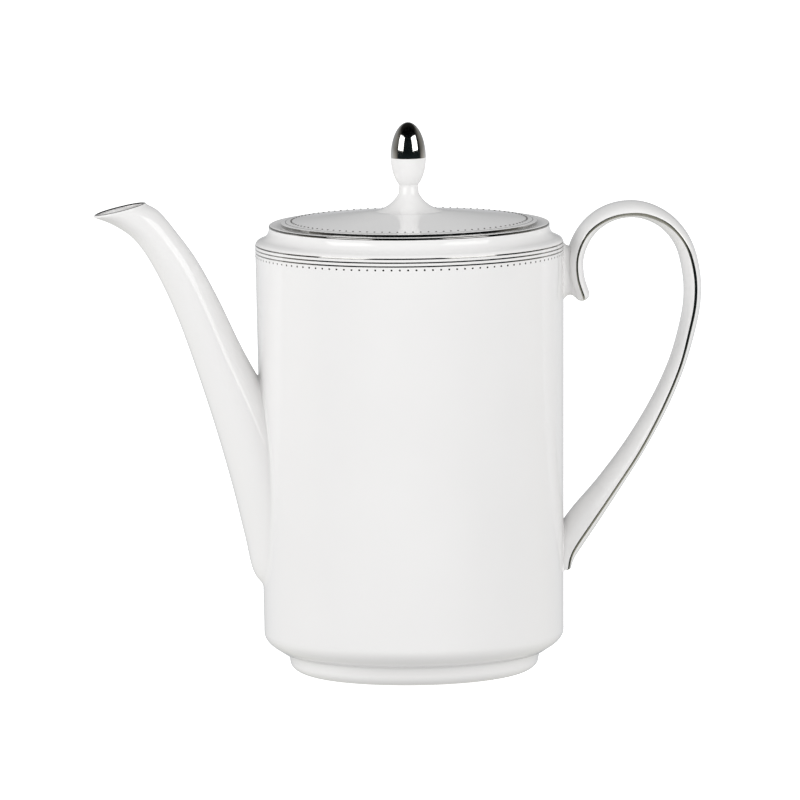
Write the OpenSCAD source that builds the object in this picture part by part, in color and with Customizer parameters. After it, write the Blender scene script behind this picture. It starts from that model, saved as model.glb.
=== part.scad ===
// Tall coffee pot in glazed white china with platinum trim: a straight barrel on a foot
// ring, a swan spout towards -X, a strap handle towards +X and a lift-off lid with an
// egg-shaped finial. Millimetres, +Z up, standing on the plane z = 0.

/* [Barrel] */
// Outer radius of the barrel just below the shoulder
barrel_top_r = 57; // [55:0.5:60]
// Outer radius of the barrel at the top of its rounded lower edge
barrel_low_r = 55.5; // [54:0.5:57]
// Height at which the straight side ends and the shoulder starts
shoulder_z = 158.9; // [158.5:0.1:159.3]
// Height of the top of the rim
rim_z = 166.8; // [166.6:0.1:167.2]
// Outer radius of the neck between the shoulder and the rim
neck_r = 51.9; // [51.5:0.1:52.5]
// Radius of the mouth that takes the flange of the lid
mouth_r = 44.8; // [44.6:0.1:45.4]
// Thickness of the china wall
wall = 3; // [2.5:0.1:3.5]

/* [Foot ring] */
// Height of the foot ring
foot_h = 7.7; // [6:0.1:9]
// Outer radius of the foot ring where it meets the barrel
foot_top_r = 46.7; // [45:0.1:47.5]
// Outer radius of the ring that touches the table
foot_rest_r = 38.5; // [38:0.5:41]
// Inner radius of the foot ring
foot_in_r = 34.5; // [33:0.5:35]

/* [Lid] */
// Outer radius of the lid
lid_r = 47.4; // [46.5:0.1:48.5]
// Height of the lid top above the rim at its edge
lid_edge_h = 0.75; // [0.6:0.05:1.2]
// Height of the seat of the finial above the rim
lid_rise = 4.6; // [4:0.1:6]
// Outer radius of the flange under the lid
flange_r = 44.2; // [43:0.1:44.3]
// Depth of the flange below the rim
flange_depth = 8.2; // [5:0.1:12]
// Diameter of the steam vent through the lid
vent_d = 3; // [2:0.5:4]

/* [Finial] */
// Largest radius of the egg
egg_r = 6.5; // [5.5:0.1:7.5]
// Height of the widest level of the egg above the seat
egg_level = 19.7; // [19:0.1:21]
// Height of the egg above its widest level
egg_top_h = 13.1; // [11:0.1:14]
// Height of the egg below its widest level
egg_low_h = 11.9; // [11:0.1:13]
// Radius of the waist below the egg
waist_r = 3.5; // [3:0.1:4]
// Radius of the base of the finial
finial_base_r = 12.4; // [11:0.1:13]

/* [Spout and handle] */
// Thickness of the spout wall at the barrel
spout_wall = 2.4; // [2:0.1:2.8]
// Thickness of the spout wall at the lip
lip_wall = 1.6; // [1.2:0.1:2]
// Width of the pouring hole through the barrel wall
pour_hole_w = 18; // [14:1:20]
// Half width of the bracket between the barrel and the top of the handle
bracket_half_w = 6.5; // [5:0.5:8]

/* [Platinum trim] */
// Thickness of the platinum layer as modelled
trim_t = 0.08; // [0.05:0.01:0.12]
// Height of each of the three lines round the barrel
line_h = 0.5; // [0.3:0.1:0.8]
// Distance from one line round the barrel to the next
line_pitch = 1.4; // [1.2:0.1:1.8]
// Diameter of the dots
dot_d = 0.75; // [0.5:0.05:1]
// Number of dots round the barrel
barrel_dot_count = 118; // [60:2:140]
// Number of dots round the lid
lid_dot_count = 96; // [48:2:110]

/* [Hidden] */

$fn = 96;
glaze = [0.95, 0.945, 0.935];
platinum = [0.72, 0.72, 0.72];

// The swan spout, from the root inside the barrel to the lip. Each station is one oval
// ring: the x and z of its front edge, the x and z of its back edge, and its half width.
spout_stations = [
    [-50.0, 30.0, -20.0, 44.0, 15.5],
    [-58.6, 37.0, -26.0, 54.0, 17.0],
    [-62.4, 52.0, -34.0, 70.0, 17.2],
    [-66.6, 70.0, -44.0, 87.0, 16.6],
    [-72.0, 90.0, -53.5, 105.0, 14.8],
    [-78.3, 110.5, -62.6, 122.0, 12.4],
    [-86.0, 133.0, -71.2, 140.5, 10.4],
    [-93.8, 150.5, -78.8, 154.8, 9.2],
    [-101.2, 162.2, -86.4, 165.6, 8.6],
    [-108.8, 168.5, -92.4, 172.8, 8.4],
    [-116.9, 172.4, -97.4, 176.9, 8.2]];

// The handle, from the free tail to the foot of the strap. Each station is the x and z of
// the widest level, the depth of the strap outside it and inside it, and its half width.
handle_stations = [
    [63.6, 138.9, 2.4, 3.1, 8.6],
    [61.5, 146.0, 2.8, 3.2, 9.4],
    [61.5, 154.0, 2.7, 3.3, 10.0],
    [64.8, 161.8, 2.4, 3.4, 10.4],
    [71.2, 167.1, 3.1, 2.8, 10.7],
    [79.1, 169.5, 3.6, 2.4, 10.9],
    [87.6, 169.1, 3.5, 2.7, 11.0],
    [95.9, 164.9, 3.2, 3.0, 11.0],
    [102.0, 157.1, 3.0, 3.2, 11.0],
    [104.9, 146.5, 2.9, 3.4, 11.0],
    [104.9, 136.0, 3.0, 3.0, 11.0],
    [102.6, 125.0, 3.1, 2.6, 11.0],
    [98.8, 111.8, 2.8, 2.9, 11.0],
    [92.3, 97.2, 2.9, 3.4, 11.0],
    [83.7, 81.7, 2.8, 4.4, 11.2],
    [73.8, 67.2, 3.2, 5.4, 11.5],
    [65.1, 55.0, 3.6, 7.0, 12.0],
    [59.5, 47.0, 3.6, 7.1, 12.4],
    [57.2, 42.4, 2.9, 6.8, 12.5],
    [56.4, 38.2, 2.0, 6.2, 12.6]];

spout_reach = 116.9;
handle_reach = 108;
pot_x = (spout_reach - handle_reach) / 2;

spout_sides = 24;
spout_steps = 3;
strap_steps = 3;
// Angles round one side of the strap, from its widest level to its crest
strap_angles = [0, 10, 32, 55, 75];
// Barrel: the cone and the rounding of the lower edge, the rounding inside it, the floor,
// the two curves of the shoulder, the rim, the seat of the lid, and the ledge under the mouth
low_edge_h = 9.2;
low_z = foot_h + low_edge_h;
low_cone_r = 48;
low_cone_top = [51.6, foot_h + 2.5];
low_knee = [55.45, foot_h + 5.2];
low_side = [55.48, foot_h + 7.6];
low_inner_w = 7;
floor_t = 3.5;
floor_z = foot_h + floor_t;
shoulder_w = 1.9;
shoulder_h = 2.2;
neck_curve_w = 4.1;
neck_curve_h = 4.2;
neck_curve_z = rim_z - 1.4;
edge_r = 0.8;
mouth_edge_r = 0.6;
seat_drop = 0.55;
seat_top_z = rim_z - seat_drop;
seat_r = 48.2;
ledge_z = rim_z - 3.4;
ledge_w = 5.7;
ledge_drop = 1.4;
side_top_z = ledge_z - 6;
barrel_slope = (barrel_top_r - barrel_low_r) / (shoulder_z - low_z);

// Pouring hole: heights of the centres of its round ends
pour_low_z = 59;
pour_high_z = 89;
pour_depth = 12;

// Foot ring: height of its rounded outer edge, the step inside it and the flat rest
foot_edge_h = 4.4;
foot_top_step = 1.1;
foot_chamfer = 2;

line_z = shoulder_z + 0.6;
dots_z = line_z - 2 * line_pitch - 1.3;
lid_seat_gap = 0.05;
lid_under_z = seat_top_z + lid_seat_gap;
lid_edge_z = rim_z + lid_edge_h;
seat_z = rim_z + lid_rise;
lid_edge_r = 0.4;
lid_top_r = lid_r - lid_edge_r;
lid_slope = (seat_z - lid_edge_z) / (lid_top_r - finial_base_r);
lid_line_r = lid_r - 1.5;
lid_line_lift = 0.0005;
lid_dots_r = lid_r - 3.8;
vent_r = 35;
vent_angle = 38;
flange_chamfer = 0.7;
egg_z = seat_z + egg_level;
finial_knee = [6.2, seat_z + 1.4];
finial_neck_z = seat_z + 6.9;

// Bracket that joins the strap to the barrel: x and z of its outline
bracket_outline = [[52, 138.4], [57.4, 138.9], [59, 139.8], [61, 139.6], [61.5, 146],
    [61.6, 154], [61, 156.8], [58.6, 156.3], [52, 156.3]];
// Half angle round the barrel that the bracket covers
bracket_angle = 7;

// Radius of the straight side of the barrel at a height
function side_r(z) = barrel_top_r - barrel_slope * (shoulder_z - z);

// Radius of the outside of the barrel at a height on the side or the rounding above it
function outer_r(z) = z < shoulder_z ? side_r(z) : barrel_top_r - shoulder_w
    + shoulder_w * sqrt(1 - ((z - shoulder_z) / shoulder_h) ^ 2);

// Radius of the inside of the barrel at a height
function inner_r(z) = side_r(z) - wall;

// Height of the conical top of the lid at a radius
function lid_z(r) = lid_edge_z + lid_slope * (lid_top_r - r);

// Points of an elliptical arc in a radius and height outline
function arc(r, z, across, up, from, to, steps) =
    [for (i = [0:steps]) let (a = from + (to - from) * i / steps)
        [r + across * cos(a), z + up * sin(a)]];

// Point of the smooth curve from a to c that leaves and arrives in line with b
function bend(a, b, c, t) = a * (1 - t) * (1 - t) + b * 2 * t * (1 - t) + c * t * t;

// Smooth curve through a list of stations
function between(p, i, t) =
    let (a = p[max(i - 1, 0)], b = p[i], c = p[i + 1], d = p[min(i + 2, len(p) - 1)])
    (2 * b + (c - a) * t + (2 * a - 5 * b + 4 * c - d) * t * t
        + (3 * b - a - 3 * c + d) * t * t * t) / 2;
function curve(p, steps) =
    concat([for (i = [0:len(p) - 2]) for (k = [0:steps - 1]) between(p, i, k / steps)],
        [p[len(p) - 1]]);

// Triangles between neighbouring rings of points, where the last ring joins the first
// ring if closed is true
function ring_faces(rings, sides, closed) =
    [for (i = [0:rings - (closed ? 1 : 2)]) for (k = [0:sides - 1])
        let (a = i * sides + k, b = i * sides + (k + 1) % sides,
            c = ((i + 1) % rings) * sides + (k + 1) % sides,
            d = ((i + 1) % rings) * sides + k)
        each [[a, b, c], [a, c, d]]];
function end_faces(rings, sides) =
    [[for (k = [sides - 1:-1:0]) k],
        [for (k = [0:sides - 1]) (rings - 1) * sides + k]];

// One oval ring of the spout, moved inwards by the wall thickness
function spout_ring(s, inset) =
    let (low = [s[0], 0, s[1]], high = [s[2], 0, s[3]], mid = (low + high) / 2,
        half = norm(high - low) / 2, dir = (high - low) / (2 * half))
    [for (k = [0:spout_sides - 1]) let (a = 360 * k / spout_sides)
        mid + dir * cos(a) * (half - inset) + [0, sin(a) * (s[4] - inset), 0]];

spout_curve = curve(spout_stations, spout_steps);
spout_rings = len(spout_curve);
function wall_at(i) = spout_wall + (lip_wall - spout_wall) * i / (spout_rings - 1);

// Section of the strap: two half ovals that meet at the widest level
strap_section = concat([for (a = strap_angles) a], [90],
    [for (i = [len(strap_angles) - 1:-1:0]) 180 - strap_angles[i]],
    [for (i = [1:len(strap_angles) - 1]) 180 + strap_angles[i]], [270],
    [for (i = [len(strap_angles) - 1:-1:1]) 360 - strap_angles[i]]);
strap_sides = len(strap_section);
strap_curve = curve(handle_stations, strap_steps);
strap_rings = len(strap_curve);

// Outward direction of the strap at one ring, seen from the side
function strap_out(i) =
    let (a = strap_curve[max(i - 1, 0)], b = strap_curve[min(i + 1, strap_rings - 1)],
        along = [b[0] - a[0], b[1] - a[1]] / norm([b[0] - a[0], b[1] - a[1]]))
    [-along[1], 0, along[0]];
function strap_point(i, a, grow) =
    let (s = strap_curve[i], depth = sin(a) > 0 ? s[2] : s[3])
    [s[0], 0, s[1]] + strap_out(i) * sin(a) * (depth + grow)
        + [0, -cos(a) * (s[4] + grow), 0];
function strap_ring(i) = [for (a = strap_section) strap_point(i, a, 0)];

// Rings that close the free tail of the strap with a rounded end
tail_length = 2.4;
tail_angles = [80, 60, 35];
function tail_ring(a) =
    let (s = strap_curve[0], out = strap_out(0), back = [-out[2], 0, out[0]],
        mid = [s[0], 0, s[1]])
    [for (p = strap_ring(0)) mid + (p - mid) * cos(a) + back * tail_length * sin(a)];

// Solid inside the outer surface of the barrel's straight side
module barrel_core() {
    translate([0, 0, low_z])
        cylinder(r1 = barrel_low_r, r2 = barrel_top_r, h = shoulder_z - low_z);
}

// Ring of trim with its inner face on the barrel
module body_line(z) {
    low = z - line_h / 2;
    high = z + line_h / 2;
    color(platinum) translate([pot_x, 0, 0]) rotate_extrude()
        polygon([[outer_r(low), low], [outer_r(low) + trim_t, low],
            [outer_r(high) + trim_t, high], [outer_r(high), high]]);
}

module barrel_base() {
    outside = concat([[low_cone_r, foot_h]],
        [for (i = [0:6]) bend(low_cone_top, low_knee, low_side, i / 6)],
        [[barrel_low_r, low_z]]);
    inside = arc(inner_r(low_z) - low_inner_w, low_z, low_inner_w, low_z - floor_z, 0, -90, 6);
    color(glaze) translate([pot_x, 0, 0]) rotate_extrude()
        polygon(concat([[0, foot_h]], outside, inside, [[0, floor_z]]));
}

module barrel_side() {
    color(glaze) translate([pot_x, 0, 0]) difference() {
        rotate_extrude() polygon([[inner_r(low_z), low_z], [side_r(low_z), low_z],
            [side_r(side_top_z), side_top_z], [inner_r(side_top_z), side_top_z]]);
        pouring_hole();
    }
}

module barrel_shoulder() {
    outside = concat([[barrel_top_r, shoulder_z]],
        [for (z = [line_z - line_h / 2, line_z + line_h / 2]) [outer_r(z), z]],
        arc(barrel_top_r - shoulder_w, shoulder_z, shoulder_w, shoulder_h, 34, 60, 3),
        arc(neck_r + neck_curve_w, neck_curve_z, neck_curve_w, neck_curve_h, 250, 180, 7),
        arc(neck_r - edge_r, rim_z - edge_r, edge_r, edge_r, 0, 90, 4));
    inside = concat(
        [[seat_r, seat_top_z]],
        arc(mouth_r + mouth_edge_r, seat_top_z - mouth_edge_r, mouth_edge_r, mouth_edge_r,
            90, 180, 3),
        [[mouth_r, ledge_z], [mouth_r + ledge_w, ledge_z - ledge_drop],
            [inner_r(side_top_z), side_top_z]]);
    color(glaze) translate([pot_x, 0, 0]) rotate_extrude()
        polygon(concat([[side_r(side_top_z), side_top_z]], outside, inside));
}

// Tall round-ended hole through the barrel wall behind the root of the spout
module pouring_hole() {
    face_x = -barrel_top_r - 2;
    for (z = [pour_low_z, pour_high_z]) translate([face_x, 0, z]) rotate([0, 90, 0])
        cylinder(d = pour_hole_w, h = pour_depth);
    translate([face_x, -pour_hole_w / 2, pour_low_z])
        cube([pour_depth, pour_hole_w, pour_high_z - pour_low_z]);
}

module foot_ring() {
    edge_w = foot_top_r - foot_rest_r - foot_top_step;
    color(glaze) translate([pot_x, 0, 0]) rotate_extrude()
        polygon(concat([[foot_in_r + foot_chamfer, 0]],
            arc(foot_rest_r, foot_edge_h, edge_w, foot_edge_h, -90, 0, 7),
            [[foot_top_r, foot_h], [foot_in_r, foot_h], [foot_in_r, foot_chamfer]]));
}

module spout() {
    rings = concat([for (i = [0:spout_rings - 1]) spout_ring(spout_curve[i], 0)],
        [for (i = [spout_rings - 1:-1:0]) spout_ring(spout_curve[i], wall_at(i))]);
    points = [for (r = rings) each r];
    color(glaze) translate([pot_x, 0, 0]) difference() {
        polyhedron(points, ring_faces(len(rings), spout_sides, true));
        barrel_core();
    }
}

module handle() {
    rings = concat([for (a = tail_angles) tail_ring(a)],
        [for (i = [0:strap_rings - 1]) strap_ring(i)]);
    points = [for (r = rings) each r];
    color(glaze) translate([pot_x, 0, 0]) difference() {
        union() {
            polyhedron(points, concat(ring_faces(len(rings), strap_sides, false),
                end_faces(len(rings), strap_sides)));
            handle_bracket();
        }
        barrel_core();
    }
}

// Block that joins the strap to the barrel beside its free tail
module handle_bracket() {
    translate([0, bracket_half_w, 0]) rotate([90, 0, 0])
        linear_extrude(2 * bracket_half_w) polygon(bracket_outline);
}

module rim_band() {
    face = arc(neck_r - edge_r, rim_z - edge_r, edge_r, edge_r, 0, 90, 4);
    skin = arc(neck_r - edge_r, rim_z - edge_r, edge_r + trim_t, edge_r + trim_t, 0, 90, 4);
    color(platinum) translate([pot_x, 0, 0]) rotate_extrude()
        polygon(concat([for (i = [0:3]) face[i]], [for (i = [3:-1:0]) skin[i]]));
}

module body_line_upper() {
    body_line(line_z);
}

module body_line_middle() {
    body_line(line_z - line_pitch);
}

module body_line_lower() {
    body_line(line_z - 2 * line_pitch);
}

module body_dots() {
    angles = [for (i = [0:barrel_dot_count - 1]) 360 * (i + 0.5) / barrel_dot_count];
    color(platinum) translate([pot_x, 0, 0])
        for (a = angles) if (a > bracket_angle && a < 360 - bracket_angle)
            rotate([0, 0, a]) translate([side_r(dots_z + dot_d / 2), 0, dots_z])
            rotate([0, 90, 0]) cylinder(d = dot_d, h = trim_t, $fn = 24);
}

module spout_lip_band() {
    last = spout_rings - 1;
    start = spout_curve[last] * 0.94 + spout_curve[last - 1] * 0.06;
    rings = [spout_ring(start, 0), spout_ring(spout_curve[last], 0),
        spout_ring(spout_curve[last], -trim_t), spout_ring(start, -trim_t)];
    color(platinum) translate([pot_x, 0, 0])
        polyhedron([for (r = rings) each r], ring_faces(4, spout_sides, true));
}

// Line along one edge of the strap, with its inner face on the strap, round an angle of
// the section
module handle_line(middle) {
    edge = [middle - strap_angles[1], middle, middle + strap_angles[1]];
    rings = [for (i = [0:strap_rings - 1]) concat(
        [for (a = edge) strap_point(i, a, 0)],
        [for (k = [2:-1:0]) strap_point(i, edge[k], trim_t)])];
    color(platinum) translate([pot_x, 0, 0]) difference() {
        polyhedron([for (r = rings) each r], concat(ring_faces(strap_rings, 6, false),
            end_faces(strap_rings, 6)));
        barrel_core();
    }
}

module handle_line_near() {
    handle_line(0);
}

module handle_line_far() {
    handle_line(180);
}

// Outline of the edge of the lid, grown outwards: two roundings that end at an angle
function lid_edge(grow, end, steps) =
    let (r = lid_edge_r + grow, in_r = lid_r - lid_edge_r)
    concat(arc(in_r, lid_under_z + lid_edge_r, r, r, -end, 0, steps),
        arc(in_r, lid_edge_z - lid_edge_r, r, r, 0, end, steps));

module lid_disc() {
    edge = lid_edge(0, 90, 4);
    color(glaze) translate([pot_x, 0, 0]) difference() {
        rotate_extrude() polygon(concat([[0, seat_z - wall], [0, seat_z],
            [finial_base_r, seat_z]],
            [for (i = [len(edge) - 1:-1:0]) edge[i]],
            [[flange_r - wall - flange_chamfer, lid_under_z],
                [finial_base_r, seat_z - wall]]));
        rotate([0, 0, vent_angle]) translate([vent_r, 0, rim_z - 1])
            cylinder(d = vent_d, h = 2 * wall);
    }
}

module lid_flange() {
    low = rim_z - flange_depth;
    in_r = flange_r - wall;
    color(glaze) translate([pot_x, 0, 0]) rotate_extrude()
        polygon([[in_r + flange_chamfer, low], [flange_r - flange_chamfer, low],
            [flange_r, low + flange_chamfer], [flange_r, lid_under_z],
            [in_r, lid_under_z], [in_r, low + flange_chamfer]]);
}

// Outline of the finial below the widest level of its egg
function finial_low() =
    concat([for (i = [0:8]) bend([finial_base_r, seat_z], finial_knee,
            [waist_r, finial_neck_z], i / 8)],
        arc(0, egg_z, egg_r, egg_low_h, -acos(waist_r / egg_r), 0, 9));

module finial_stem() {
    color(glaze) translate([pot_x, 0, 0]) rotate_extrude()
        polygon(concat([[0, seat_z]], finial_low(), [[0, egg_z]]));
}

module finial_cap() {
    color(platinum) translate([pot_x, 0, 0]) rotate_extrude()
        polygon(concat([[0, egg_z]], arc(0, egg_z, egg_r, egg_top_h, 0, 90, 14)));
}

module lid_edge_band() {
    face = lid_edge(0, 45, 2);
    skin = lid_edge(trim_t, 45, 2);
    color(platinum) translate([pot_x, 0, 0]) rotate_extrude()
        polygon(concat(face, [for (i = [len(skin) - 1:-1:0]) skin[i]]));
}

module lid_line() {
    in_r = lid_line_r - 0.3;
    color(platinum) translate([pot_x, 0, lid_line_lift]) rotate_extrude()
        polygon([[in_r, lid_z(in_r)], [lid_line_r, lid_z(lid_line_r)],
            [lid_line_r, lid_z(lid_line_r) + trim_t], [in_r, lid_z(in_r) + trim_t]]);
}

module lid_dots() {
    color(platinum) translate([pot_x, 0, 0])
        for (i = [0:lid_dot_count - 1]) rotate([0, 0, 360 * i / lid_dot_count])
            translate([lid_dots_r, 0, lid_z(lid_dots_r)]) rotate([0, atan(lid_slope), 0])
            cylinder(d = dot_d, h = trim_t, $fn = 24);
}

barrel_base();
barrel_side();
barrel_shoulder();
foot_ring();
spout();
handle();
rim_band();
body_line_upper();
body_line_middle();
body_line_lower();
body_dots();
spout_lip_band();
handle_line_near();
handle_line_far();
lid_disc();
lid_flange();
finial_stem();
finial_cap();
lid_edge_band();
lid_line();
lid_dots();
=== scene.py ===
"""Studio scene of a tall white china coffee pot with platinum trim, built round its CAD frame."""

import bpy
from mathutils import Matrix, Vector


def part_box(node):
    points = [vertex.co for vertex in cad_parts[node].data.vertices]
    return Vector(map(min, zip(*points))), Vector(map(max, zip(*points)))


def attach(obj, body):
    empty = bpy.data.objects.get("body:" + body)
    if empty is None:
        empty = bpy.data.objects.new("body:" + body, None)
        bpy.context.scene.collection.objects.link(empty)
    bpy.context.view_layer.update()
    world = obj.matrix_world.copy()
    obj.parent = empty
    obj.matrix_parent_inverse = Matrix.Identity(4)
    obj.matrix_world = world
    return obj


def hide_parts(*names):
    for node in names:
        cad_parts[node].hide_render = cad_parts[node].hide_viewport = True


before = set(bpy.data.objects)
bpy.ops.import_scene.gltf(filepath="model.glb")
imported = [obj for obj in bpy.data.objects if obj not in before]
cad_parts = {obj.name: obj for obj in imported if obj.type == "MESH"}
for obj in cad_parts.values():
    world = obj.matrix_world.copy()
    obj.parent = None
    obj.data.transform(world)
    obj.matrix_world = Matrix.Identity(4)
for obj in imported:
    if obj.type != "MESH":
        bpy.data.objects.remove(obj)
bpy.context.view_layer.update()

import math

import bmesh
import bpy
from mathutils import Matrix, Vector

MM = 0.001
AROUND = 256  # points round a turned shape


def box_mm(node):
    """Lowest and highest corner of a CAD node, in millimetres."""
    low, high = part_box(node)
    return [c / MM for c in low], [c / MM for c in high]


# Dimensions in millimetres, taken from the CAD nodes. Shapes below are drawn about the axis of
# the barrel, which stands at x = AXIS_X.
side_low, side_high = box_mm("barrel_side")
shoulder_low, shoulder_high = box_mm("barrel_shoulder")
foot_low, foot_high = box_mm("foot_ring")
cap_low, cap_high = box_mm("finial_cap")
stem_low, _ = box_mm("finial_stem")
lid_low, lid_high = box_mm("lid_disc")
AXIS_X = (foot_low[0] + foot_high[0]) / 2
LOW_Z = side_low[2]
SIDE_TOP_Z = side_high[2]
RIM_Z = shoulder_high[2]
FOOT_H = foot_high[2]
SEAT_Z = stem_low[2]
EGG_Z = cap_low[2]
EGG_TOP_Z = cap_high[2]
TOP_R = (shoulder_high[0] - shoulder_low[0]) / 2

# Dimensions that no node's box shows
SHOULDER_Z = 158.9  # top of the straight side
LOW_R = 55.5  # radius at the lower end of the straight side
SLOPE = (TOP_R - LOW_R) / (SHOULDER_Z - LOW_Z)
WALL = 3.0
JOIN_SINK = 0.04  # how far the end of a joined piece goes into the barrel
TRIM_SINK = 0.06  # how far platinum goes into the glaze
TRIM_RISE = 0.02  # how far the lines round the barrel stand out of it
EDGE_TRIM_RISE = 0.004  # the same for the lines on the rim and on the edge of the lid
DOT_R = 0.375


def side_r(z):
    """Radius of the straight side of the barrel at a height."""
    return TOP_R - SLOPE * (SHOULDER_Z - z)


# ---------------------------------------------------------------- mesh helpers

def add_piece(name, verts, faces, body, node, materials, sharp_deg=38, choose=None):
    """Makes a closed mesh from points in millimetres about the axis, and ties it to the frame."""
    mesh = bpy.data.meshes.new(name)
    mesh.from_pydata([((x + AXIS_X) * MM, y * MM, z * MM) for x, y, z in verts], [], faces)
    bm = bmesh.new()
    bm.from_mesh(mesh)
    bmesh.ops.remove_doubles(bm, verts=bm.verts, dist=1e-7)
    bmesh.ops.recalc_face_normals(bm, faces=bm.faces)
    bm.to_mesh(mesh)
    bm.free()
    piece = bpy.data.objects.new(name, mesh)
    bpy.context.scene.collection.objects.link(piece)
    for material in materials:
        mesh.materials.append(material)
    finish_shading(piece, sharp_deg)
    if choose is not None:
        for face in mesh.polygons:
            face.material_index = choose(face.center / MM)
    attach(piece, body)
    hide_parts(*([node] if isinstance(node, str) else node))
    return piece


def finish_shading(piece, sharp_deg):
    """Smooth shading with creases where faces meet at more than an angle."""
    mesh = piece.data
    bm = bmesh.new()
    bm.from_mesh(mesh)
    for face in bm.faces:
        face.smooth = True
    for edge in bm.edges:
        edge.smooth = edge.calc_face_angle(0) < math.radians(sharp_deg)
    bm.to_mesh(mesh)
    bm.free()


def arc(r, z, across, up, start, end, steps):
    """Points of an elliptical arc in a radius and height outline."""
    angles = [math.radians(start + (end - start) * i / steps) for i in range(steps + 1)]
    return [(r + across * math.cos(a), z + up * math.sin(a)) for a in angles]


def bend(a, b, c, steps):
    """Points of the smooth curve from a to c that leaves and arrives in line with b."""
    fractions = [i / steps for i in range(steps + 1)]
    return [tuple(p * (1 - f) ** 2 + q * 2 * f * (1 - f) + r * f * f
                  for p, q, r in zip(a, b, c)) for f in fractions]


def revolve(outline, around=AROUND):
    """Points and faces of a closed outline turned about the axis."""
    verts, faces, rows = [], [], []
    for r, z in outline:
        if r < 1e-6:
            rows.append([len(verts)] * around)
            verts.append((0, 0, z))
        else:
            rows.append(range(len(verts), len(verts) + around))
            for k in range(around):
                a = 2 * math.pi * k / around
                verts.append((r * math.cos(a), r * math.sin(a), z))
    for i, row in enumerate(rows):
        after = rows[(i + 1) % len(rows)]
        for k in range(around):
            n = (k + 1) % around
            loop = []
            for v in (row[k], row[n], after[n], after[k]):
                if v not in loop:
                    loop.append(v)
            if len(loop) > 2:
                faces.append(loop)
    return verts, faces


def stretch(points, most):
    """The same outline with long straight stretches divided."""
    result = []
    for i, (r, z) in enumerate(points):
        nr, nz = points[(i + 1) % len(points)]
        count = max(1, math.ceil(math.hypot(nr - r, nz - z) / most))
        if r < 1e-6 and nr < 1e-6:
            count = 1
        result += [(r + (nr - r) * j / count, z + (nz - z) * j / count) for j in range(count)]
    return result


def grid_faces(rows, columns, close_rows=False):
    """Quads between rows of points, where each row is a ring."""
    faces = []
    for i in range(rows if close_rows else rows - 1):
        n = (i + 1) % rows
        for k in range(columns):
            m = (k + 1) % columns
            faces.append((i * columns + k, i * columns + m, n * columns + m, n * columns + k))
    return faces


def cut(piece, verts, faces):
    """Cuts a closed shape, in millimetres about the axis, out of a piece."""
    mesh = bpy.data.meshes.new("cutter")
    mesh.from_pydata([((x + AXIS_X) * MM, y * MM, z * MM) for x, y, z in verts], [], faces)
    bm = bmesh.new()
    bm.from_mesh(mesh)
    bmesh.ops.recalc_face_normals(bm, faces=bm.faces)
    bm.to_mesh(mesh)
    bm.free()
    cutter = bpy.data.objects.new("cutter", mesh)
    bpy.context.scene.collection.objects.link(cutter)
    modifier = piece.modifiers.new("cut", "BOOLEAN")
    modifier.operation = "DIFFERENCE"
    modifier.solver = "EXACT"
    modifier.object = cutter
    depsgraph = bpy.context.evaluated_depsgraph_get()
    result = bpy.data.meshes.new_from_object(piece.evaluated_get(depsgraph))
    piece.modifiers.clear()
    old = piece.data
    piece.data = result
    result.name = piece.name
    bpy.data.meshes.remove(old)
    bpy.data.objects.remove(cutter)
    bpy.data.meshes.remove(mesh)


def curve_at(stations, t):
    """Smooth curve through a list of stations, at t from 0 to the last station."""
    last = len(stations) - 1
    i = min(max(int(t), 0), last - 1)
    f = t - i
    rows = (stations[max(i - 1, 0)], stations[i], stations[i + 1], stations[min(i + 2, last)])
    return [(2 * b + (c - a) * f + (2 * a - 5 * b + 4 * c - d) * f * f
             + (3 * b - a - 3 * c + d) * f ** 3) / 2 for a, b, c, d in zip(*rows)]


# ---------------------------------------------------------------- materials

def new_material(name, color, roughness, metallic=0.0):
    """A material with one Principled shader, its nodes and its links."""
    material = bpy.data.materials.new(name)
    material.use_nodes = True
    nodes, links = material.node_tree.nodes, material.node_tree.links
    shader = nodes["Principled BSDF"]
    shader.inputs["Base Color"].default_value = (*color, 1)
    shader.inputs["Roughness"].default_value = roughness
    shader.inputs["Metallic"].default_value = metallic
    return material, nodes, links, shader


def noise(nodes, links, scale, detail, stretch_z=1.0):
    """A noise texture in object space."""
    coords = nodes.new("ShaderNodeTexCoord")
    mapping = nodes.new("ShaderNodeMapping")
    mapping.inputs["Scale"].default_value = (1, 1, stretch_z)
    links.new(coords.outputs["Object"], mapping.inputs["Vector"])
    texture = nodes.new("ShaderNodeTexNoise")
    texture.inputs["Scale"].default_value = scale
    texture.inputs["Detail"].default_value = detail
    links.new(mapping.outputs["Vector"], texture.inputs["Vector"])
    return texture


def vary(nodes, links, texture, socket, low, high):
    """Drives a number or colour socket between two values by a noise texture."""
    ramp = nodes.new("ShaderNodeValToRGB")
    ramp.color_ramp.elements[0].position = 0.3
    ramp.color_ramp.elements[1].position = 0.7
    ramp.color_ramp.elements[0].color = (*low, 1)
    ramp.color_ramp.elements[1].color = (*high, 1)
    links.new(texture.outputs["Fac"], ramp.inputs["Fac"])
    links.new(ramp.outputs["Color"], socket)


def add_bump(nodes, links, shader, texture, strength, distance):
    """Bumps a shader's normal by a noise texture."""
    bump = nodes.new("ShaderNodeBump")
    bump.inputs["Strength"].default_value = strength
    bump.inputs["Distance"].default_value = distance
    links.new(texture.outputs["Fac"], bump.inputs["Height"])
    links.new(bump.outputs["Normal"], shader.inputs["Normal"])


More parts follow.
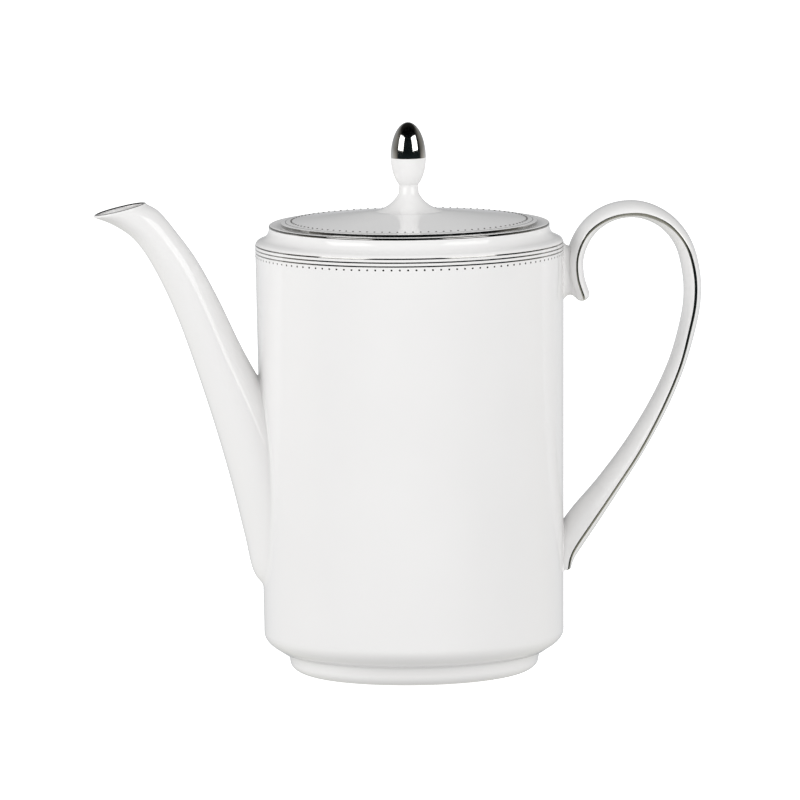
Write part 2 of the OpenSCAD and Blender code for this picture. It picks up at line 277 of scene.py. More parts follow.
def white_glaze():
    """Warm white bone china under a clear glossy glaze."""
    material, nodes, links, shader = new_material("white_glaze", (0.925, 0.919, 0.914), 0.06)
    tone = noise(nodes, links, 28, 3)
    vary(nodes, links, tone, shader.inputs["Base Color"], (0.916, 0.91, 0.905),
         (0.934, 0.928, 0.923))
    gloss = noise(nodes, links, 60, 4)
    vary(nodes, links, gloss, shader.inputs["Roughness"], (0.045,) * 3, (0.085,) * 3)
    ripple = noise(nodes, links, 45, 1)
    add_bump(nodes, links, shader, ripple, 0.12, 0.0004)
    shader.inputs["IOR"].default_value = 1.52
    return material


def bisque():
    """Unglazed china on the resting edge of the foot."""
    material, nodes, links, shader = new_material("foot_bisque", (0.72, 0.69, 0.64), 0.75)
    grain = noise(nodes, links, 900, 6)
    vary(nodes, links, grain, shader.inputs["Base Color"], (0.64, 0.61, 0.56),
         (0.76, 0.735, 0.69))
    vary(nodes, links, grain, shader.inputs["Roughness"], (0.65,) * 3, (0.9,) * 3)
    add_bump(nodes, links, shader, grain, 0.5, 0.0001)
    return material


def platinum(name, wear, low, high):
    """Fired platinum lustre: a mirror with faint brush marks and thin spots."""
    material, nodes, links, shader = new_material(name, low, 0.08, 1.0)
    cloud = noise(nodes, links, 220, 5)
    vary(nodes, links, cloud, shader.inputs["Base Color"], low, high)
    vary(nodes, links, cloud, shader.inputs["Roughness"], (0.05,) * 3, (wear,) * 3)
    marks = noise(nodes, links, 700, 2, 0.15)
    add_bump(nodes, links, shader, marks, 0.08, 0.00005)
    return material


GLAZE = white_glaze()
BISQUE = bisque()
# The three copies of the platinum differ only in brightness, and the difference is painted shade.
# The trim copy's base colour is darkened far below the cap's so that the thin lines and dots read
# near black. The handle copy is darkened part way.
TRIM_PLATINUM_SHADED = platinum("platinum_trim_painted_dark", 0.12, (0.3, 0.295, 0.28), (0.38, 0.375, 0.365))
HANDLE_PLATINUM = platinum("platinum_handle", 0.12, (0.5, 0.49, 0.46), (0.6, 0.59, 0.56))
CAP_PLATINUM = platinum("platinum_cap", 0.1, (0.66, 0.645, 0.62), (0.76, 0.755, 0.74))


# ---------------------------------------------------------------- barrel

NECK_R = 51.9
MOUTH_R = 44.8
EDGE_R = 0.8
LEDGE_Z = RIM_Z - 3.4
SEAT_TOP_Z = RIM_Z - 0.55
FLOOR_Z = FOOT_H + 3.5


def shoulder_outline():
    """Outside of the shoulder and the neck, from the straight side up to the rim."""
    return (arc(TOP_R - 1.9, SHOULDER_Z, 1.9, 2.2, 0, 60, 16)
            + arc(NECK_R + 4.1, RIM_Z - 1.4, 4.1, 4.2, 250, 180, 20)
            + arc(NECK_R - EDGE_R, RIM_Z - EDGE_R, EDGE_R, EDGE_R, 0, 90, 8))


def end_faces(count, total):
    """Flat faces on the first and the last ring of a run of rings with count points each."""
    return [tuple(range(count)), tuple(range(total - 1, total - count - 1, -1))]


def pouring_hole():
    """Points and faces of the tall round-ended hole from the barrel into the spout."""
    half_w, low, high, steps = 9.0, 59.0, 89.0, 24
    verts = []
    for x in (-TOP_R - 2, -TOP_R + 10):
        for i in range(steps + 1):
            a = math.pi * i / steps
            verts.append((x, half_w * math.cos(a), high + half_w * math.sin(a)))
        for i in range(steps + 1):
            a = math.pi + math.pi * i / steps
            verts.append((x, half_w * math.cos(a), low + half_w * math.sin(a)))
    count = 2 * (steps + 1)
    return verts, grid_faces(2, count) + end_faces(count, 2 * count)


def make_barrel():
    """The whole barrel in one closed shell, with the pouring hole behind the spout."""
    outside = ([(48.4, FOOT_H)]
               + bend((52.1, FOOT_H + 2.4), (55.55, FOOT_H + 4.9), (55.49, FOOT_H + 7.6), 18)
               + [(LOW_R, LOW_Z)])
    inner_low_r = side_r(LOW_Z) - WALL
    inside = ([(48.7, SEAT_TOP_Z + 0.08), (48.2, SEAT_TOP_Z)]
              + arc(MOUTH_R + 0.6, SEAT_TOP_Z - 0.6, 0.6, 0.6, 90, 180, 6)
              + arc(MOUTH_R + 1.0, LEDGE_Z + 0.8, 1.0, 0.8, 180, 250, 5)
              + [(MOUTH_R + 5.7, LEDGE_Z - 1.4), (side_r(SIDE_TOP_Z) - WALL, SIDE_TOP_Z)]
              + arc(inner_low_r - 7, LOW_Z, 7, LOW_Z - FLOOR_Z, 0, -90, 16))
    outline = [(0, FOOT_H)] + outside + shoulder_outline() + inside + [(0, FLOOR_Z)]
    verts, faces = revolve(stretch(outline, 12))
    barrel = add_piece("pot_barrel", verts, faces, "pot",
                       ["barrel_base", "barrel_side", "barrel_shoulder"],
                       [GLAZE])
    cut(barrel, *pouring_hole())
    finish_shading(barrel, 38)


def make_foot():
    """Foot ring with a rounded outer edge and an unglazed resting edge."""
    rest_in_r, rest_out_r, inner_r = 36.9, 38.9, 34.5
    edge_w, edge_h, sunk = 7.1, 4.4, 0.25
    inner_edge_w, inner_edge_h = rest_in_r - inner_r, 2.2
    outline = ([(rest_in_r, 0.0)] + arc(rest_out_r, edge_h, edge_w, edge_h, -90, 0, 18)
               + [(46.3, 5.8), (46.8, 7.0), (47.2, FOOT_H - 0.2), (47.8, FOOT_H + 0.15),
                  (46.0, FOOT_H + sunk), (inner_r, FOOT_H + sunk)]
               + arc(rest_in_r, inner_edge_h, inner_edge_w, inner_edge_h, 180, 262, 10))
    bare_h = 0.12
    verts, faces = revolve(outline)
    add_piece("pot_foot", verts, faces, "pot", "foot_ring", [GLAZE, BISQUE],
              choose=lambda c: 1 if c.z < bare_h else 0)


def band(name, path, node, body, height=TRIM_RISE):
    """A thin ring of platinum laid along a short path of (r, z) points, domed across."""
    count = len(path) - 1
    top, under = [], []
    for i, (r, z) in enumerate(path):
        before, after = path[max(i - 1, 0)], path[min(i + 1, count)]
        dr, dz = after[0] - before[0], after[1] - before[1]
        size = math.hypot(dr, dz)
        nr, nz = dz / size, -dr / size
        rise = height * math.sin(math.pi * (0.12 + 0.76 * i / count))
        top.append((r + nr * rise, z + nz * rise))
        under.append((r - nr * TRIM_SINK, z - nz * TRIM_SINK))
    verts, faces = revolve(top + under[::-1])
    add_piece(name, verts, faces, body, node, [TRIM_PLATINUM_SHADED], sharp_deg=60)


def line_path(outline, low_z, high_z):
    """Stretch of an outside outline between two heights."""
    steps = 6

    def radius(z):
        """Radius of the outline at a height."""
        for (r0, z0), (r1, z1) in zip(outline, outline[1:]):
            if min(z0, z1) <= z <= max(z0, z1) and z0 != z1:
                return r0 + (r1 - r0) * (z - z0) / (z1 - z0)
        return side_r(z)
    return [(radius(z), z) for z in
            (low_z + (high_z - low_z) * i / steps for i in range(steps + 1))]


def make_body_lines():
    """Three platinum lines round the top of the barrel and one round the rim."""
    outline = [(side_r(SIDE_TOP_Z), SIDE_TOP_Z)] + shoulder_outline()
    for name in ("body_line_upper", "body_line_middle", "body_line_lower"):
        low, high = box_mm(name)
        band("trim_" + name, line_path(outline, low[2], high[2]), name, "pot")
    rim = [(NECK_R, RIM_Z - EDGE_R - 0.15)]
    rim += arc(NECK_R - EDGE_R, RIM_Z - EDGE_R, EDGE_R, EDGE_R, 0, 50, 8)
    band("trim_rim_line", rim, "rim_band", "pot", EDGE_TRIM_RISE)


def dome_dot(center, normal, up, height, verts, faces):
    """Adds one domed dot of platinum."""
    side = up.cross(normal).normalized()
    around = 14
    first = len(verts)
    rings = ((1.0, -TRIM_SINK), (1.0, 0.2 * height), (0.8, 0.6 * height), (0.4, 0.9 * height))
    for ring_r, lift in rings:
        for k in range(around):
            a = 2 * math.pi * k / around
            verts.append(center + (side * math.cos(a) + up * math.sin(a)) * DOT_R * ring_r
                         + normal * lift)
    verts.append(center + normal * height)
    verts.append(center - normal * TRIM_SINK)
    for i in range(len(rings) - 1):
        for k in range(around):
            n = (k + 1) % around
            faces.append([first + i * around + k, first + i * around + n,
                          first + (i + 1) * around + n, first + (i + 1) * around + k])
    crown, base = len(verts) - 2, len(verts) - 1
    for k in range(around):
        n = (k + 1) % around
        top = first + (len(rings) - 1) * around
        faces.append([top + k, top + n, crown])
        faces.append([first + n, first + k, base])


def make_body_dots():
    """A ring of dots below the lines, left out where the handle meets the barrel."""
    low, high = box_mm("body_dots")
    z = (low[2] + high[2]) / 2
    count, bare_deg, dot_h = 118, 7, 0.05
    verts, faces = [], []
    for i in range(count):
        deg = 360 * (i + 0.5) / count
        if bare_deg < deg < 360 - bare_deg:
            a = math.radians(deg)
            normal = Vector((math.cos(a), math.sin(a), 0))
            center = normal * side_r(z) + Vector((0, 0, z))
            dome_dot(center, normal, Vector((0, 0, 1)), dot_h, verts, faces)
    add_piece("trim_body_dots", verts, faces, "pot", "body_dots", [TRIM_PLATINUM_SHADED])


# ---------------------------------------------------------------- spout and handle

def trace(surface, far, root, gap):
    """Points of one line of a surface, from its far end to where it enters the barrel."""
    steps = 500
    points = []
    for i in range(steps + 1):
        t = far + (root - far) * i / steps
        point = surface(t)
        if math.hypot(point.x, point.y) < side_r(point.z) - gap and points:
            low, high = far + (root - far) * (i - 1) / steps, t
            for _ in range(30):
                mid = (low + high) / 2
                point = surface(mid)
                if math.hypot(point.x, point.y) < side_r(point.z) - gap:
                    high = mid
                else:
                    low = mid
            points.append(surface(low))
            return points
        points.append(point)
    return points


def resample(points, count, trim=0.0):
    """Evenly spaced points along a line, leaving out a length at its end."""
    lengths = [0.0]
    for a, b in zip(points, points[1:]):
        lengths.append(lengths[-1] + (b - a).length)
    total = lengths[-1] - trim
    result, j = [], 0
    for i in range(count):
        want = total * i / (count - 1)
        while j < len(lengths) - 2 and lengths[j + 1] < want:
            j += 1
        span = lengths[j + 1] - lengths[j]
        f = (want - lengths[j]) / span if span > 1e-9 else 0
        result.append(points[j].lerp(points[j + 1], min(max(f, 0), 1)))
    return result


def flare(lines, rows, size):
    """Rows of points along traced lines, with a fillet where they meet the barrel."""
    steps = 8
    ends = [line[-1] for line in lines]
    middle = sum(ends, Vector()) / len(ends)
    columns = []
    for k, line in enumerate(lines):
        end = ends[k]
        along = ends[(k + 1) % len(ends)] - ends[k - 1]
        normal = Vector((end.x, end.y, 0)).normalized()
        away = normal.cross(along).normalized()
        if away.dot(end - middle) < 0:
            away = -away
        column = resample(line, rows, size)
        start = column[-1]
        reach = end + away * size
        for i in range(1, steps + 1):
            f = i / steps
            point = start * (1 - f) ** 2 + end * 2 * f * (1 - f) + reach * f * f
            radius = math.hypot(point.x, point.y)
            floor = side_r(point.z) - JOIN_SINK
            if i == steps or radius < floor:
                point = Vector((point.x * floor / radius, point.y * floor / radius, point.z))
            column.append(point)
        columns.append(column)
    return [[column[i] for column in columns] for i in range(rows + steps)]


# Sections of the spout: x and z of its lower edge, x and z of its upper edge, half width
SPOUT_STATIONS = [
    (-50.0, 30.0, -20.0, 44.0, 15.5),
    (-58.6, 37.0, -26.0, 54.0, 17.0),
    (-62.4, 52.0, -34.0, 70.0, 17.2),
    (-66.6, 70.0, -44.0, 87.0, 16.6),
    (-72.0, 90.0, -53.5, 105.0, 14.8),
    (-78.3, 110.5, -62.6, 122.0, 12.4),
    (-86.0, 133.0, -71.2, 140.5, 10.4),
    (-93.8, 150.5, -78.8, 154.8, 9.2),
    (-101.2, 162.2, -86.4, 165.6, 8.6),
    (-109.0, 168.2, -92.4, 173.0, 8.4),
    (-116.6, 171.4, -97.0, 175.9, 8.2)]
SPOUT_ROOT_WALL = 2.4
LIP_R = 0.8


def spout_point(t, angle, inset):
    """Point of the spout at station t, round its oval ring, moved in by a wall thickness."""
    x0, z0, x1, z1, half_w = curve_at(SPOUT_STATIONS, t)
    low, high = Vector((x0, 0, z0)), Vector((x1, 0, z1))
    half = (high - low).length / 2
    across = (high - low).normalized()
    return ((low + high) / 2 + across * math.cos(angle) * (half - inset)
            + Vector((0, math.sin(angle) * (half_w - inset), 0)))


def spout_wall(t):
    """Thickness of the spout wall at station t."""
    return SPOUT_ROOT_WALL + (2 * LIP_R - SPOUT_ROOT_WALL) * t / (len(SPOUT_STATIONS) - 1)


def lip_ring(columns, turn, grow=0.0):
    """Ring of points round the rounded lip, at an angle from its outside over its top."""
    last = len(SPOUT_STATIONS) - 1
    x0, z0, x1, z1, _ = SPOUT_STATIONS[last]
    up = Vector((z0 - z1, 0, x1 - x0)).normalized()
    reach = LIP_R + grow
    return [spout_point(last, 2 * math.pi * k / columns, LIP_R - reach * math.cos(turn))
            + up * reach * math.sin(turn) for k in range(columns)]


def make_spout():
    """The swan spout: an open tube with a rounded lip and a fillet at the barrel."""
    columns, last = 96, len(SPOUT_STATIONS) - 1
    outer_count, inner_count, fillet = 110, 90, 2.2
    outer, inner = [], []
    for k in range(columns):
        a = 2 * math.pi * k / columns
        outer.append(trace(lambda t: spout_point(t, a, 0), last, 0, 0))
        inner.append(trace(lambda t: spout_point(t, a, spout_wall(t)), last, 0, JOIN_SINK))
    outer_rows = flare(outer, outer_count, fillet)
    inner_columns = [resample(line, inner_count) for line in inner]
    inner_rows = [[column[i] for column in inner_columns] for i in range(inner_count)][::-1]
    lip_steps = 10
    lip_rows = [lip_ring(columns, math.pi - math.pi * i / lip_steps)
                for i in range(1, lip_steps)]
    rows = outer_rows + inner_rows + lip_rows
    add_piece("pot_spout", [p for row in rows for p in row],
              grid_faces(len(rows), columns, close_rows=True), "pot", "spout",
              [GLAZE], sharp_deg=50)
    turns = [math.radians(d) for d in (60, 85, 105, 135, 168)]
    rise = [0.012, 0.035, 0.045, 0.035, 0.012]
    rows = ([lip_ring(columns, t, r) for t, r in zip(turns, rise)]
            + [lip_ring(columns, t, -TRIM_SINK) for t in turns[::-1]])
    add_piece("trim_spout_lip", [p for row in rows for p in row],
              grid_faces(len(rows), columns, close_rows=True), "pot", "spout_lip_band",
              [TRIM_PLATINUM_SHADED], sharp_deg=60)


# Sections of the strap from its free tail to its foot: x and z of its widest level, depth to
# its outer and its inner face, half width
HANDLE_STATIONS = [
    (63.6, 138.9, 2.4, 3.1, 8.6),
    (61.5, 146.0, 2.8, 3.2, 9.4),
    (61.5, 154.0, 2.7, 3.3, 10.0),
    (64.8, 161.8, 2.4, 3.4, 10.4),
    (71.2, 167.1, 3.1, 2.8, 10.7),
    (79.1, 169.5, 3.6, 2.4, 10.9),
    (87.6, 169.1, 3.5, 2.7, 11.0),
    (95.9, 164.9, 3.2, 3.0, 11.0),
    (102.0, 157.1, 3.0, 3.2, 11.0),
    (104.9, 146.5, 2.9, 3.4, 11.0),
    (104.9, 136.0, 3.0, 3.0, 11.0),
    (102.6, 125.0, 3.1, 2.6, 11.0),
    (98.8, 111.8, 2.8, 2.9, 11.0),
    (92.3, 97.2, 2.9, 3.4, 11.0),
    (83.7, 81.7, 2.8, 4.4, 11.2),
    (73.8, 67.2, 3.2, 5.4, 11.5),
    (65.1, 55.0, 3.6, 7.0, 12.0),
    (59.5, 47.0, 3.6, 7.1, 12.4),
    (57.2, 42.4, 2.9, 6.8, 12.5),
    (56.4, 38.2, 2.0, 6.2, 12.6)]
TAIL_LENGTH = 2.4
FOOT_ROUND = 1.2  # how far the foot goes on as it turns
FOOT_INWARD = 9  # how far it goes into the barrel
# Platinum line at every second station: how far it lies outside the widest level of the
# strap, and its half width
LINE_PLACES = [(0, 0.42), (0, 0.42), (-0.25, 0.5), (-0.55, 0.62), (-0.1, 0.5), (0, 0.52),
               (0.1, 0.45), (0.4, 0.45), (0.5, 0.45), (0.35, 0.45), (0.3, 0.45)]


def strap_point(t, angle, grow=0.0):
    """Point of the strap at station t, round its section. Before the first station the tail
    closes, and after the last one the foot turns into the barrel."""
    last = len(HANDLE_STATIONS) - 1
    inside = min(max(t, 0), last)
    x, z, depth_out, depth_in, half_w = curve_at(HANDLE_STATIONS, inside)
    a = curve_at(HANDLE_STATIONS, max(inside - 0.02, 0))
    b = curve_at(HANDLE_STATIONS, min(inside + 0.02, last))
    along = Vector((b[0] - a[0], 0, b[1] - a[1])).normalized()
    out = Vector((-along.z, 0, along.x))
    depth = depth_out if math.sin(angle) > 0 else depth_in
    middle = Vector((x, 0, z))
    offset = (out * math.sin(angle) * (depth + grow)
              + Vector((0, -math.cos(angle) * (half_w + grow), 0)))
    if t < 0:
        turn = -t * math.pi / 2
        return middle + offset * math.cos(turn) - along * TAIL_LENGTH * math.sin(turn)
    if t > last:
        turn = (t - last) * math.pi / 2
        return (middle + offset + along * FOOT_ROUND * math.sin(turn)
                - Vector((FOOT_INWARD * (1 - math.cos(turn)), 0, 0)))
    return middle + offset


def section_angles(columns):
    """Angles round the strap, closer together at its two narrow edges."""
    angles = []
    for k in range(columns):
        a = 2 * math.pi * k / columns
        angles.append(a - 0.36 * math.sin(2 * a))
    return angles


def make_handle():
    """The strap handle with a rounded free tail, and a fillet where its foot joins."""
    columns, last = 72, len(HANDLE_STATIONS) - 1
    tail_steps, count, fillet = 9, 190, 0.8
    lines = [trace(lambda t: strap_point(t, a), 0, last + 1, 0) for a in section_angles(columns)]
    rows = flare(lines, count, fillet)
    tail = [[strap_point(-i / tail_steps, a) for a in section_angles(columns)]
            for i in range(tail_steps - 1, 0, -1)]
    rows = tail + rows
    verts = [p for row in rows for p in row]
    faces = grid_faces(len(rows), columns)
    tip, inner = strap_point(-1, 0), sum(rows[-1], Vector()) / columns
    verts += [tip, inner]
    for k in range(columns):
        n = (k + 1) % columns
        faces.append((k, n, len(verts) - 2))
        base = (len(rows) - 1) * columns
        faces.append((base + k, base + n, len(verts) - 1))
    add_piece("pot_handle", verts, faces, "pot", "handle", [GLAZE],
              sharp_deg=50)


def make_bracket():
    """The short web between the barrel and the strap, flared into both."""
    columns, steps = 64, 14
    z_mid, half_h, half_w = 147.9, 9.0, 5.6
    end_x, squareness = 61.2, 0.72
    barrel_flare, strap_flare = 1.9, 1.0
    rows = []
    for i in range(steps + 1):
        f = i / steps
        grow = (barrel_flare * (1 - math.sin(math.pi * min(f * 1.15, 1) / 2)) ** 1.6
                + strap_flare * max(0, f * 2 - 1) ** 2.2)
        row = []
        for k in range(columns):
            a = 2 * math.pi * k / columns
            ca, sa = math.cos(a), math.sin(a)
            y = (half_w + grow) * math.copysign(abs(ca) ** squareness, ca)
            z = z_mid + (half_h + grow) * math.copysign(abs(sa) ** squareness, sa)
            start_x = math.sqrt(side_r(z) ** 2 - y * y) - JOIN_SINK
            row.append(Vector((start_x + (end_x - start_x) * f, y, z)))
        rows.append(row)
    verts = [p for row in rows for p in row]
    faces = grid_faces(len(rows), columns) + end_faces(columns, len(verts))
    add_piece("pot_handle_bracket", verts, faces, "pot", "handle", [GLAZE],
              sharp_deg=50)


def make_handle_lines():
    """Platinum along both edges of the strap, a little inside the edge over the top of the
    loop and a little outside it down the lower run."""
    last = len(HANDLE_STATIONS) - 1
    rise = [0.012, 0.03, 0.035, 0.03, 0.012]
    for name, mirrored in (("handle_line_near", False), ("handle_line_far", True)):
        rows = []
        count = 260
        for i in range(count + 1):
            t = -0.55 + (last + 0.75) * i / count
            shift, half_w = curve_at(LINE_PLACES, min(max(t / 2, 0), len(LINE_PLACES) - 1))
            depths = curve_at(HANDLE_STATIONS, min(max(t, 0), last))[2:4]
            turns = []
            for f in (-1, -0.6, 0, 0.6, 1):
                reach = shift + half_w * f
                turn = math.asin(reach / (depths[0] if reach > 0 else depths[1]))
                turns.append(math.pi - turn if mirrored else turn)
            rows.append([strap_point(t, a, r) for a, r in zip(turns, rise)]
                        + [strap_point(t, a, -TRIM_SINK) for a in turns[::-1]])
        columns = 2 * len(rise)
        verts = [p for row in rows for p in row]
        faces = grid_faces(len(rows), columns) + end_faces(columns, len(verts))
        add_piece("trim_" + name, verts, faces, "pot", name,
                  [HANDLE_PLATINUM], sharp_deg=60)


# ---------------------------------------------------------------- lid

LID_R = (lid_high[0] - lid_low[0]) / 2
LID_EDGE_R = 0.2
LID_TOP_R = LID_R - LID_EDGE_R
LID_UNDER_Z = lid_low[2]
LID_EDGE_Z = RIM_Z + 0.75
FINIAL_R = 12.4
LID_SLOPE = (SEAT_Z - LID_EDGE_Z) / (LID_TOP_R - FINIAL_R)


def lid_z(r):
    """Height of the top of the lid at a radius."""
    return LID_EDGE_Z + LID_SLOPE * (LID_TOP_R - r)


def lid_edge():
    """Rounded edge of the lid, from its underside up."""
    return (arc(LID_TOP_R, LID_UNDER_Z + LID_EDGE_R, LID_EDGE_R, LID_EDGE_R, -90, 0, 8)
            + arc(LID_TOP_R, LID_EDGE_Z - LID_EDGE_R, LID_EDGE_R, LID_EDGE_R, 0, 90, 8))


def vent_hole():
    """Points and faces of the steam vent: a round hole with a rounded upper edge."""
    vent_r, vent_deg, hole_r, edge, around = 35.0, 38.0, 1.5, 0.7, 48
    tilt = math.atan(LID_SLOPE)
    rings = [(hole_r, -6.0), (hole_r, -edge)]
    rings += [(hole_r + edge * (1 - math.cos(a)), -edge * (1 - math.sin(a)))
              for a in (math.radians(15 * i) for i in range(1, 7))]
    rings.append((hole_r + edge, 1.0))
    turn = Matrix.Rotation(math.radians(vent_deg), 3, "Z") @ Matrix.Rotation(tilt, 3, "Y")
    place = Matrix.Rotation(math.radians(vent_deg), 3, "Z") @ Vector((vent_r, 0, lid_z(vent_r)))
    verts = [place + turn @ Vector((r * math.cos(2 * math.pi * k / around),
                                    r * math.sin(2 * math.pi * k / around), h))
             for r, h in rings for k in range(around)]
    return verts, grid_faces(len(rings), around) + end_faces(around, len(verts))


def make_lid_top():
    """Cone of the lid with its rounded edge, and the vent cut through it."""
    top = [FINIAL_R + (LID_TOP_R - FINIAL_R) * i / 10 for i in range(11)]
    outline = ([(0, SEAT_Z - WALL), (0, SEAT_Z)] + [(r, lid_z(r)) for r in top]
               + lid_edge()[-2::-1]
               + [(41.2, LID_UNDER_Z), (40.4, LID_UNDER_Z), (FINIAL_R, SEAT_Z - WALL)])
    verts, faces = revolve(outline)
    lid = add_piece("lid_top", verts, faces, "lid", "lid_disc", [GLAZE])
    cut(lid, *vent_hole())
    finish_shading(lid, 38)


def make_lid_flange():
    """Ring under the lid that drops into the mouth of the barrel."""
    low, high = box_mm("lid_flange")
    outer = (high[0] - low[0]) / 2
    inner = outer - WALL
    edge_r, sunk = 0.9, 0.02
    edge_z = low[2] + edge_r
    outline = ([(inner, low[2] + 1.0)]
               + arc(inner + edge_r, edge_z, edge_r, edge_r, 190, 270, 6)
               + arc(outer - edge_r, edge_z, edge_r, edge_r, 270, 360, 6)
               + [(outer, LID_UNDER_Z + sunk), (inner, LID_UNDER_Z + sunk)])
    verts, faces = revolve(outline)
    add_piece("lid_flange_ring", verts, faces, "lid", "lid_flange", [GLAZE])


def make_finial():
    """Egg-shaped finial: a white stem that flares into the lid, and a platinum cap."""
    egg_r, waist_r, low_h = 6.5, 3.5, 11.9
    knee, neck = (6.2, SEAT_Z + 1.4), (waist_r, SEAT_Z + 6.9)
    base = (FINIAL_R + 0.3, SEAT_Z - 0.06)
    outline = [(0, SEAT_Z - 0.5), (FINIAL_R, SEAT_Z - 0.5)] + bend(base, knee, neck, 24)[:-1]
    outline += arc(0, EGG_Z, egg_r, low_h, -math.degrees(math.acos(waist_r / egg_r)), 0, 26)
    outline += [(0, EGG_Z)]
    verts, faces = revolve(outline, 128)
    add_piece("lid_finial_stem", verts, faces, "lid", "finial_stem", [GLAZE])
    cap = ([(0, EGG_Z)] + [(egg_r - 0.15, EGG_Z), (egg_r + 0.03, EGG_Z + 0.05)]
           + arc(0, EGG_Z, egg_r + 0.03, EGG_TOP_Z - EGG_Z, 2, 90, 40)[:-1]
           + [(0, EGG_TOP_Z)])
    verts, faces = revolve(cap, 128)
    add_piece("lid_finial_cap", verts, faces, "lid", "finial_cap",
              [CAP_PLATINUM])


def make_lid_trim():
    """Platinum edge, thin line and dots round the lid."""
    # The edge band leans in by 0.09 over its height of 0.95, so that it faces slightly upward
    edge = [(LID_R + 0.1 - 0.09 * i / 4, LID_UNDER_Z + 0.2 + 0.95 * i / 4) for i in range(5)]
    band("trim_lid_edge", edge, "lid_edge_band", "lid", EDGE_TRIM_RISE)
    low, high = box_mm("lid_line")
    outer = (high[0] - low[0]) / 2
    line_w, line_h = 0.3, 0.03
    path = [(outer - line_w * i / 4, lid_z(outer - line_w * i / 4)) for i in range(5)]
    band("trim_lid_line", path, "lid_line", "lid", line_h)
    count, dots_r, dot_h = 96, LID_R - 3.8, 0.24
    tilt = math.atan(LID_SLOPE)
    verts, faces = [], []
    for i in range(count):
        turn = Matrix.Rotation(2 * math.pi * i / count, 3, "Z")
        center = turn @ Vector((dots_r, 0, lid_z(dots_r)))
        normal = turn @ Vector((math.sin(tilt), 0, math.cos(tilt)))
        inward = turn @ Vector((-math.cos(tilt), 0, math.sin(tilt)))
        dome_dot(center, normal, inward, dot_h, verts, faces)
    add_piece("trim_lid_dots", verts, faces, "lid", "lid_dots", [TRIM_PLATINUM_SHADED])


make_barrel()
make_foot()
make_body_lines()
make_body_dots()
make_spout()
make_handle()
make_bracket()
make_handle_lines()
make_lid_top()
make_lid_flange()
make_finial()
make_lid_trim()


# ---------------------------------------------------------------- studio

def make_floor():
    """A wide plain pale floor."""
    bm = bmesh.new()
    bmesh.ops.create_circle(bm, cap_ends=True, segments=96, radius=40)
    mesh = bpy.data.meshes.new("studio_floor")
    bm.to_mesh(mesh)
    bm.free()
    floor = bpy.data.objects.new("studio_floor", mesh)
    bpy.context.scene.collection.objects.link(floor)
    material, _, _, shader = new_material("studio_floor", (0.93, 0.93, 0.93), 0.9)
    shader.inputs["Specular IOR Level"].default_value = 0
    shader.inputs["Emission Color"].default_value = (1, 1, 1, 1)
    shader.inputs["Emission Strength"].default_value = 0.72
    mesh.materials.append(material)
    floor.visible_glossy = False
    floor.visible_diffuse = False


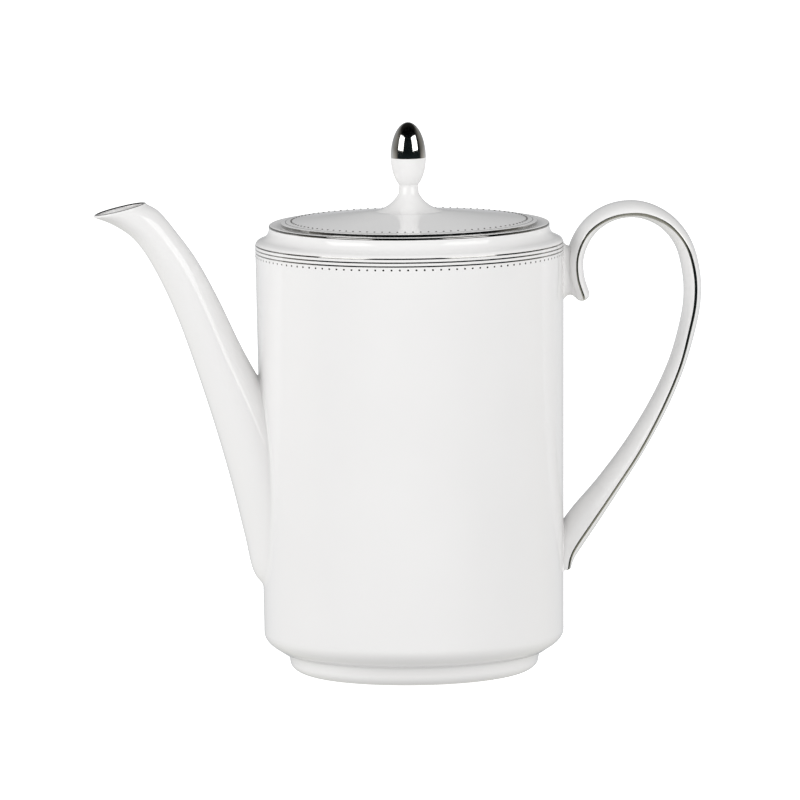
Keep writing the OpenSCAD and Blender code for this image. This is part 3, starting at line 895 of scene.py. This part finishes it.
def make_world():
    """Soft light on the glaze, and a room for reflections: dark in front and pale behind."""
    world = bpy.data.worlds.new("studio")
    bpy.context.scene.world = world
    world.use_nodes = True
    nodes, links = world.node_tree.nodes, world.node_tree.links
    nodes.clear()
    coords = nodes.new("ShaderNodeTexCoord")
    split = nodes.new("ShaderNodeSeparateXYZ")
    links.new(coords.outputs["Generated"], split.inputs[0])

    def graded(axis, stops):
        """Colour that changes along one axis of the direction looked in."""
        fraction = nodes.new("ShaderNodeMapRange")
        fraction.inputs["From Min"].default_value = -1
        links.new(split.outputs[axis], fraction.inputs["Value"])
        ramp_node = nodes.new("ShaderNodeValToRGB")
        ramp = ramp_node.color_ramp
        while len(ramp.elements) < len(stops):
            ramp.elements.new(0.5)
        for element, (position, color) in zip(ramp.elements, stops):
            element.position = (position + 1) / 2
            element.color = (*color, 1)
        links.new(fraction.outputs["Result"], ramp_node.inputs["Fac"])
        return ramp_node.outputs["Color"]

    def background(color=None):
        """Background shader, white unless a colour output is given."""
        node = nodes.new("ShaderNodeBackground")
        node.inputs["Color"].default_value = (1, 1, 1, 1)
        if color is not None:
            links.new(color, node.inputs["Color"])
        return node

    def combine(kind, a, b):
        """Multiplies or adds two colour outputs."""
        node = nodes.new("ShaderNodeMix")
        node.data_type, node.blend_type = "RGBA", kind
        node.inputs[0].default_value = 1
        links.new(a, node.inputs[6])
        links.new(b, node.inputs[7])
        return node.outputs[2]

    light = background(combine(
        "MULTIPLY",
        graded("Z", [(-1, (0.48,) * 3), (-0.5, (0.77,) * 3), (-0.1, (0.86,) * 3),
                     (0.1, (0.66,) * 3), (0.5, (0.64,) * 3), (1, (0.4,) * 3)]),
        graded("X", [(-1, (0.98,) * 3), (0.1, (0.86,) * 3), (1, (0.83,) * 3)])))
    light.inputs["Strength"].default_value = 1.2
    seen = background()
    seen.inputs["Strength"].default_value = 1.05
    room = graded("Y", [(-0.25, (0.011, 0.017, 0.019)), (0.0, (0.28, 0.265, 0.24)),
                        (0.4, (0.5, 0.49, 0.46)), (0.75, (0.64, 0.65, 0.66)),
                        (1, (0.64, 0.65, 0.665))])
    height = graded("Z", [(-1, (0.2,) * 3), (-0.45, (0.5,) * 3), (-0.1, (1,) * 3),
                          (0.07, (0.5,) * 3), (0.35, (0.53,) * 3), (0.7, (0.03,) * 3)])
    table = graded("Z", [(-1, (0.3, 0.3, 0.265)), (-0.5, (0.44, 0.44, 0.37)),
                         (-0.2, (0, 0, 0))])
    mirror = background(combine("ADD", combine("MULTIPLY", room, height), table))
    paths = nodes.new("ShaderNodeLightPath")
    first, second = nodes.new("ShaderNodeMixShader"), nodes.new("ShaderNodeMixShader")
    links.new(paths.outputs["Is Glossy Ray"], first.inputs[0])
    links.new(light.outputs[0], first.inputs[1])
    links.new(mirror.outputs[0], first.inputs[2])
    links.new(paths.outputs["Is Camera Ray"], second.inputs[0])
    links.new(first.outputs[0], second.inputs[1])
    links.new(seen.outputs[0], second.inputs[2])
    output = nodes.new("ShaderNodeOutputWorld")
    links.new(second.outputs[0], output.inputs["Surface"])


def make_softbox(name, azimuth):
    """A rectangular light that faces the pot. Azimuth 0 is in front, 90 on the handle side."""
    elevation, distance, width, height, watts = 24.5, 1.5, 1.0, 0.76, 6.3
    data = bpy.data.lights.new(name, "AREA")
    data.shape = "RECTANGLE"
    data.size, data.size_y = width, height
    data.energy = watts
    light = bpy.data.objects.new(name, data)
    bpy.context.scene.collection.objects.link(light)
    a, e = math.radians(azimuth), math.radians(elevation)
    aim = Vector((AXIS_X * MM, 0, 0.1))
    back = Vector((math.sin(a) * math.cos(e), -math.cos(a) * math.cos(e), math.sin(e)))
    light.location = aim + back * distance
    light.rotation_mode = "QUATERNION"
    light.rotation_quaternion = (-back).to_track_quat("-Z", "Y")


def make_camera():
    """Long lens far off, looking down a little, from slightly to the spout side of the front."""
    azimuth, elevation, roll = (math.radians(d) for d in (-5.5, 6.9, 0.7))
    distance, image_size, pixels_per_metre = 4.5, 800, 2707.0
    start_z, shift_left, shift_down = 0.1601, 0.00415, 0.05871
    back = Vector((math.sin(azimuth) * math.cos(elevation),
                   -math.cos(azimuth) * math.cos(elevation), math.sin(elevation)))
    right = Vector((math.cos(azimuth), math.sin(azimuth), 0))
    up = back.cross(right)
    aim = Vector((AXIS_X * MM, 0, start_z)) - right * shift_left - up * shift_down
    data = bpy.data.cameras.new("camera")
    data.sensor_width = 36
    data.lens = pixels_per_metre * distance * data.sensor_width / image_size
    data.clip_start, data.clip_end = 0.1, 200
    camera = bpy.data.objects.new("camera", data)
    bpy.context.scene.collection.objects.link(camera)
    tilted_up = up * math.cos(roll) + right * math.sin(roll)
    tilted_right = right * math.cos(roll) - up * math.sin(roll)
    turn = Matrix((tilted_right, tilted_up, back)).transposed()
    camera.matrix_world = Matrix.Translation(aim + back * distance) @ turn.to_4x4()
    bpy.context.scene.camera = camera


make_floor()
make_world()
make_softbox("softbox_left", -58)
make_softbox("softbox_right", 44)
make_camera()
bpy.context.scene.view_settings.view_transform = "Standard"
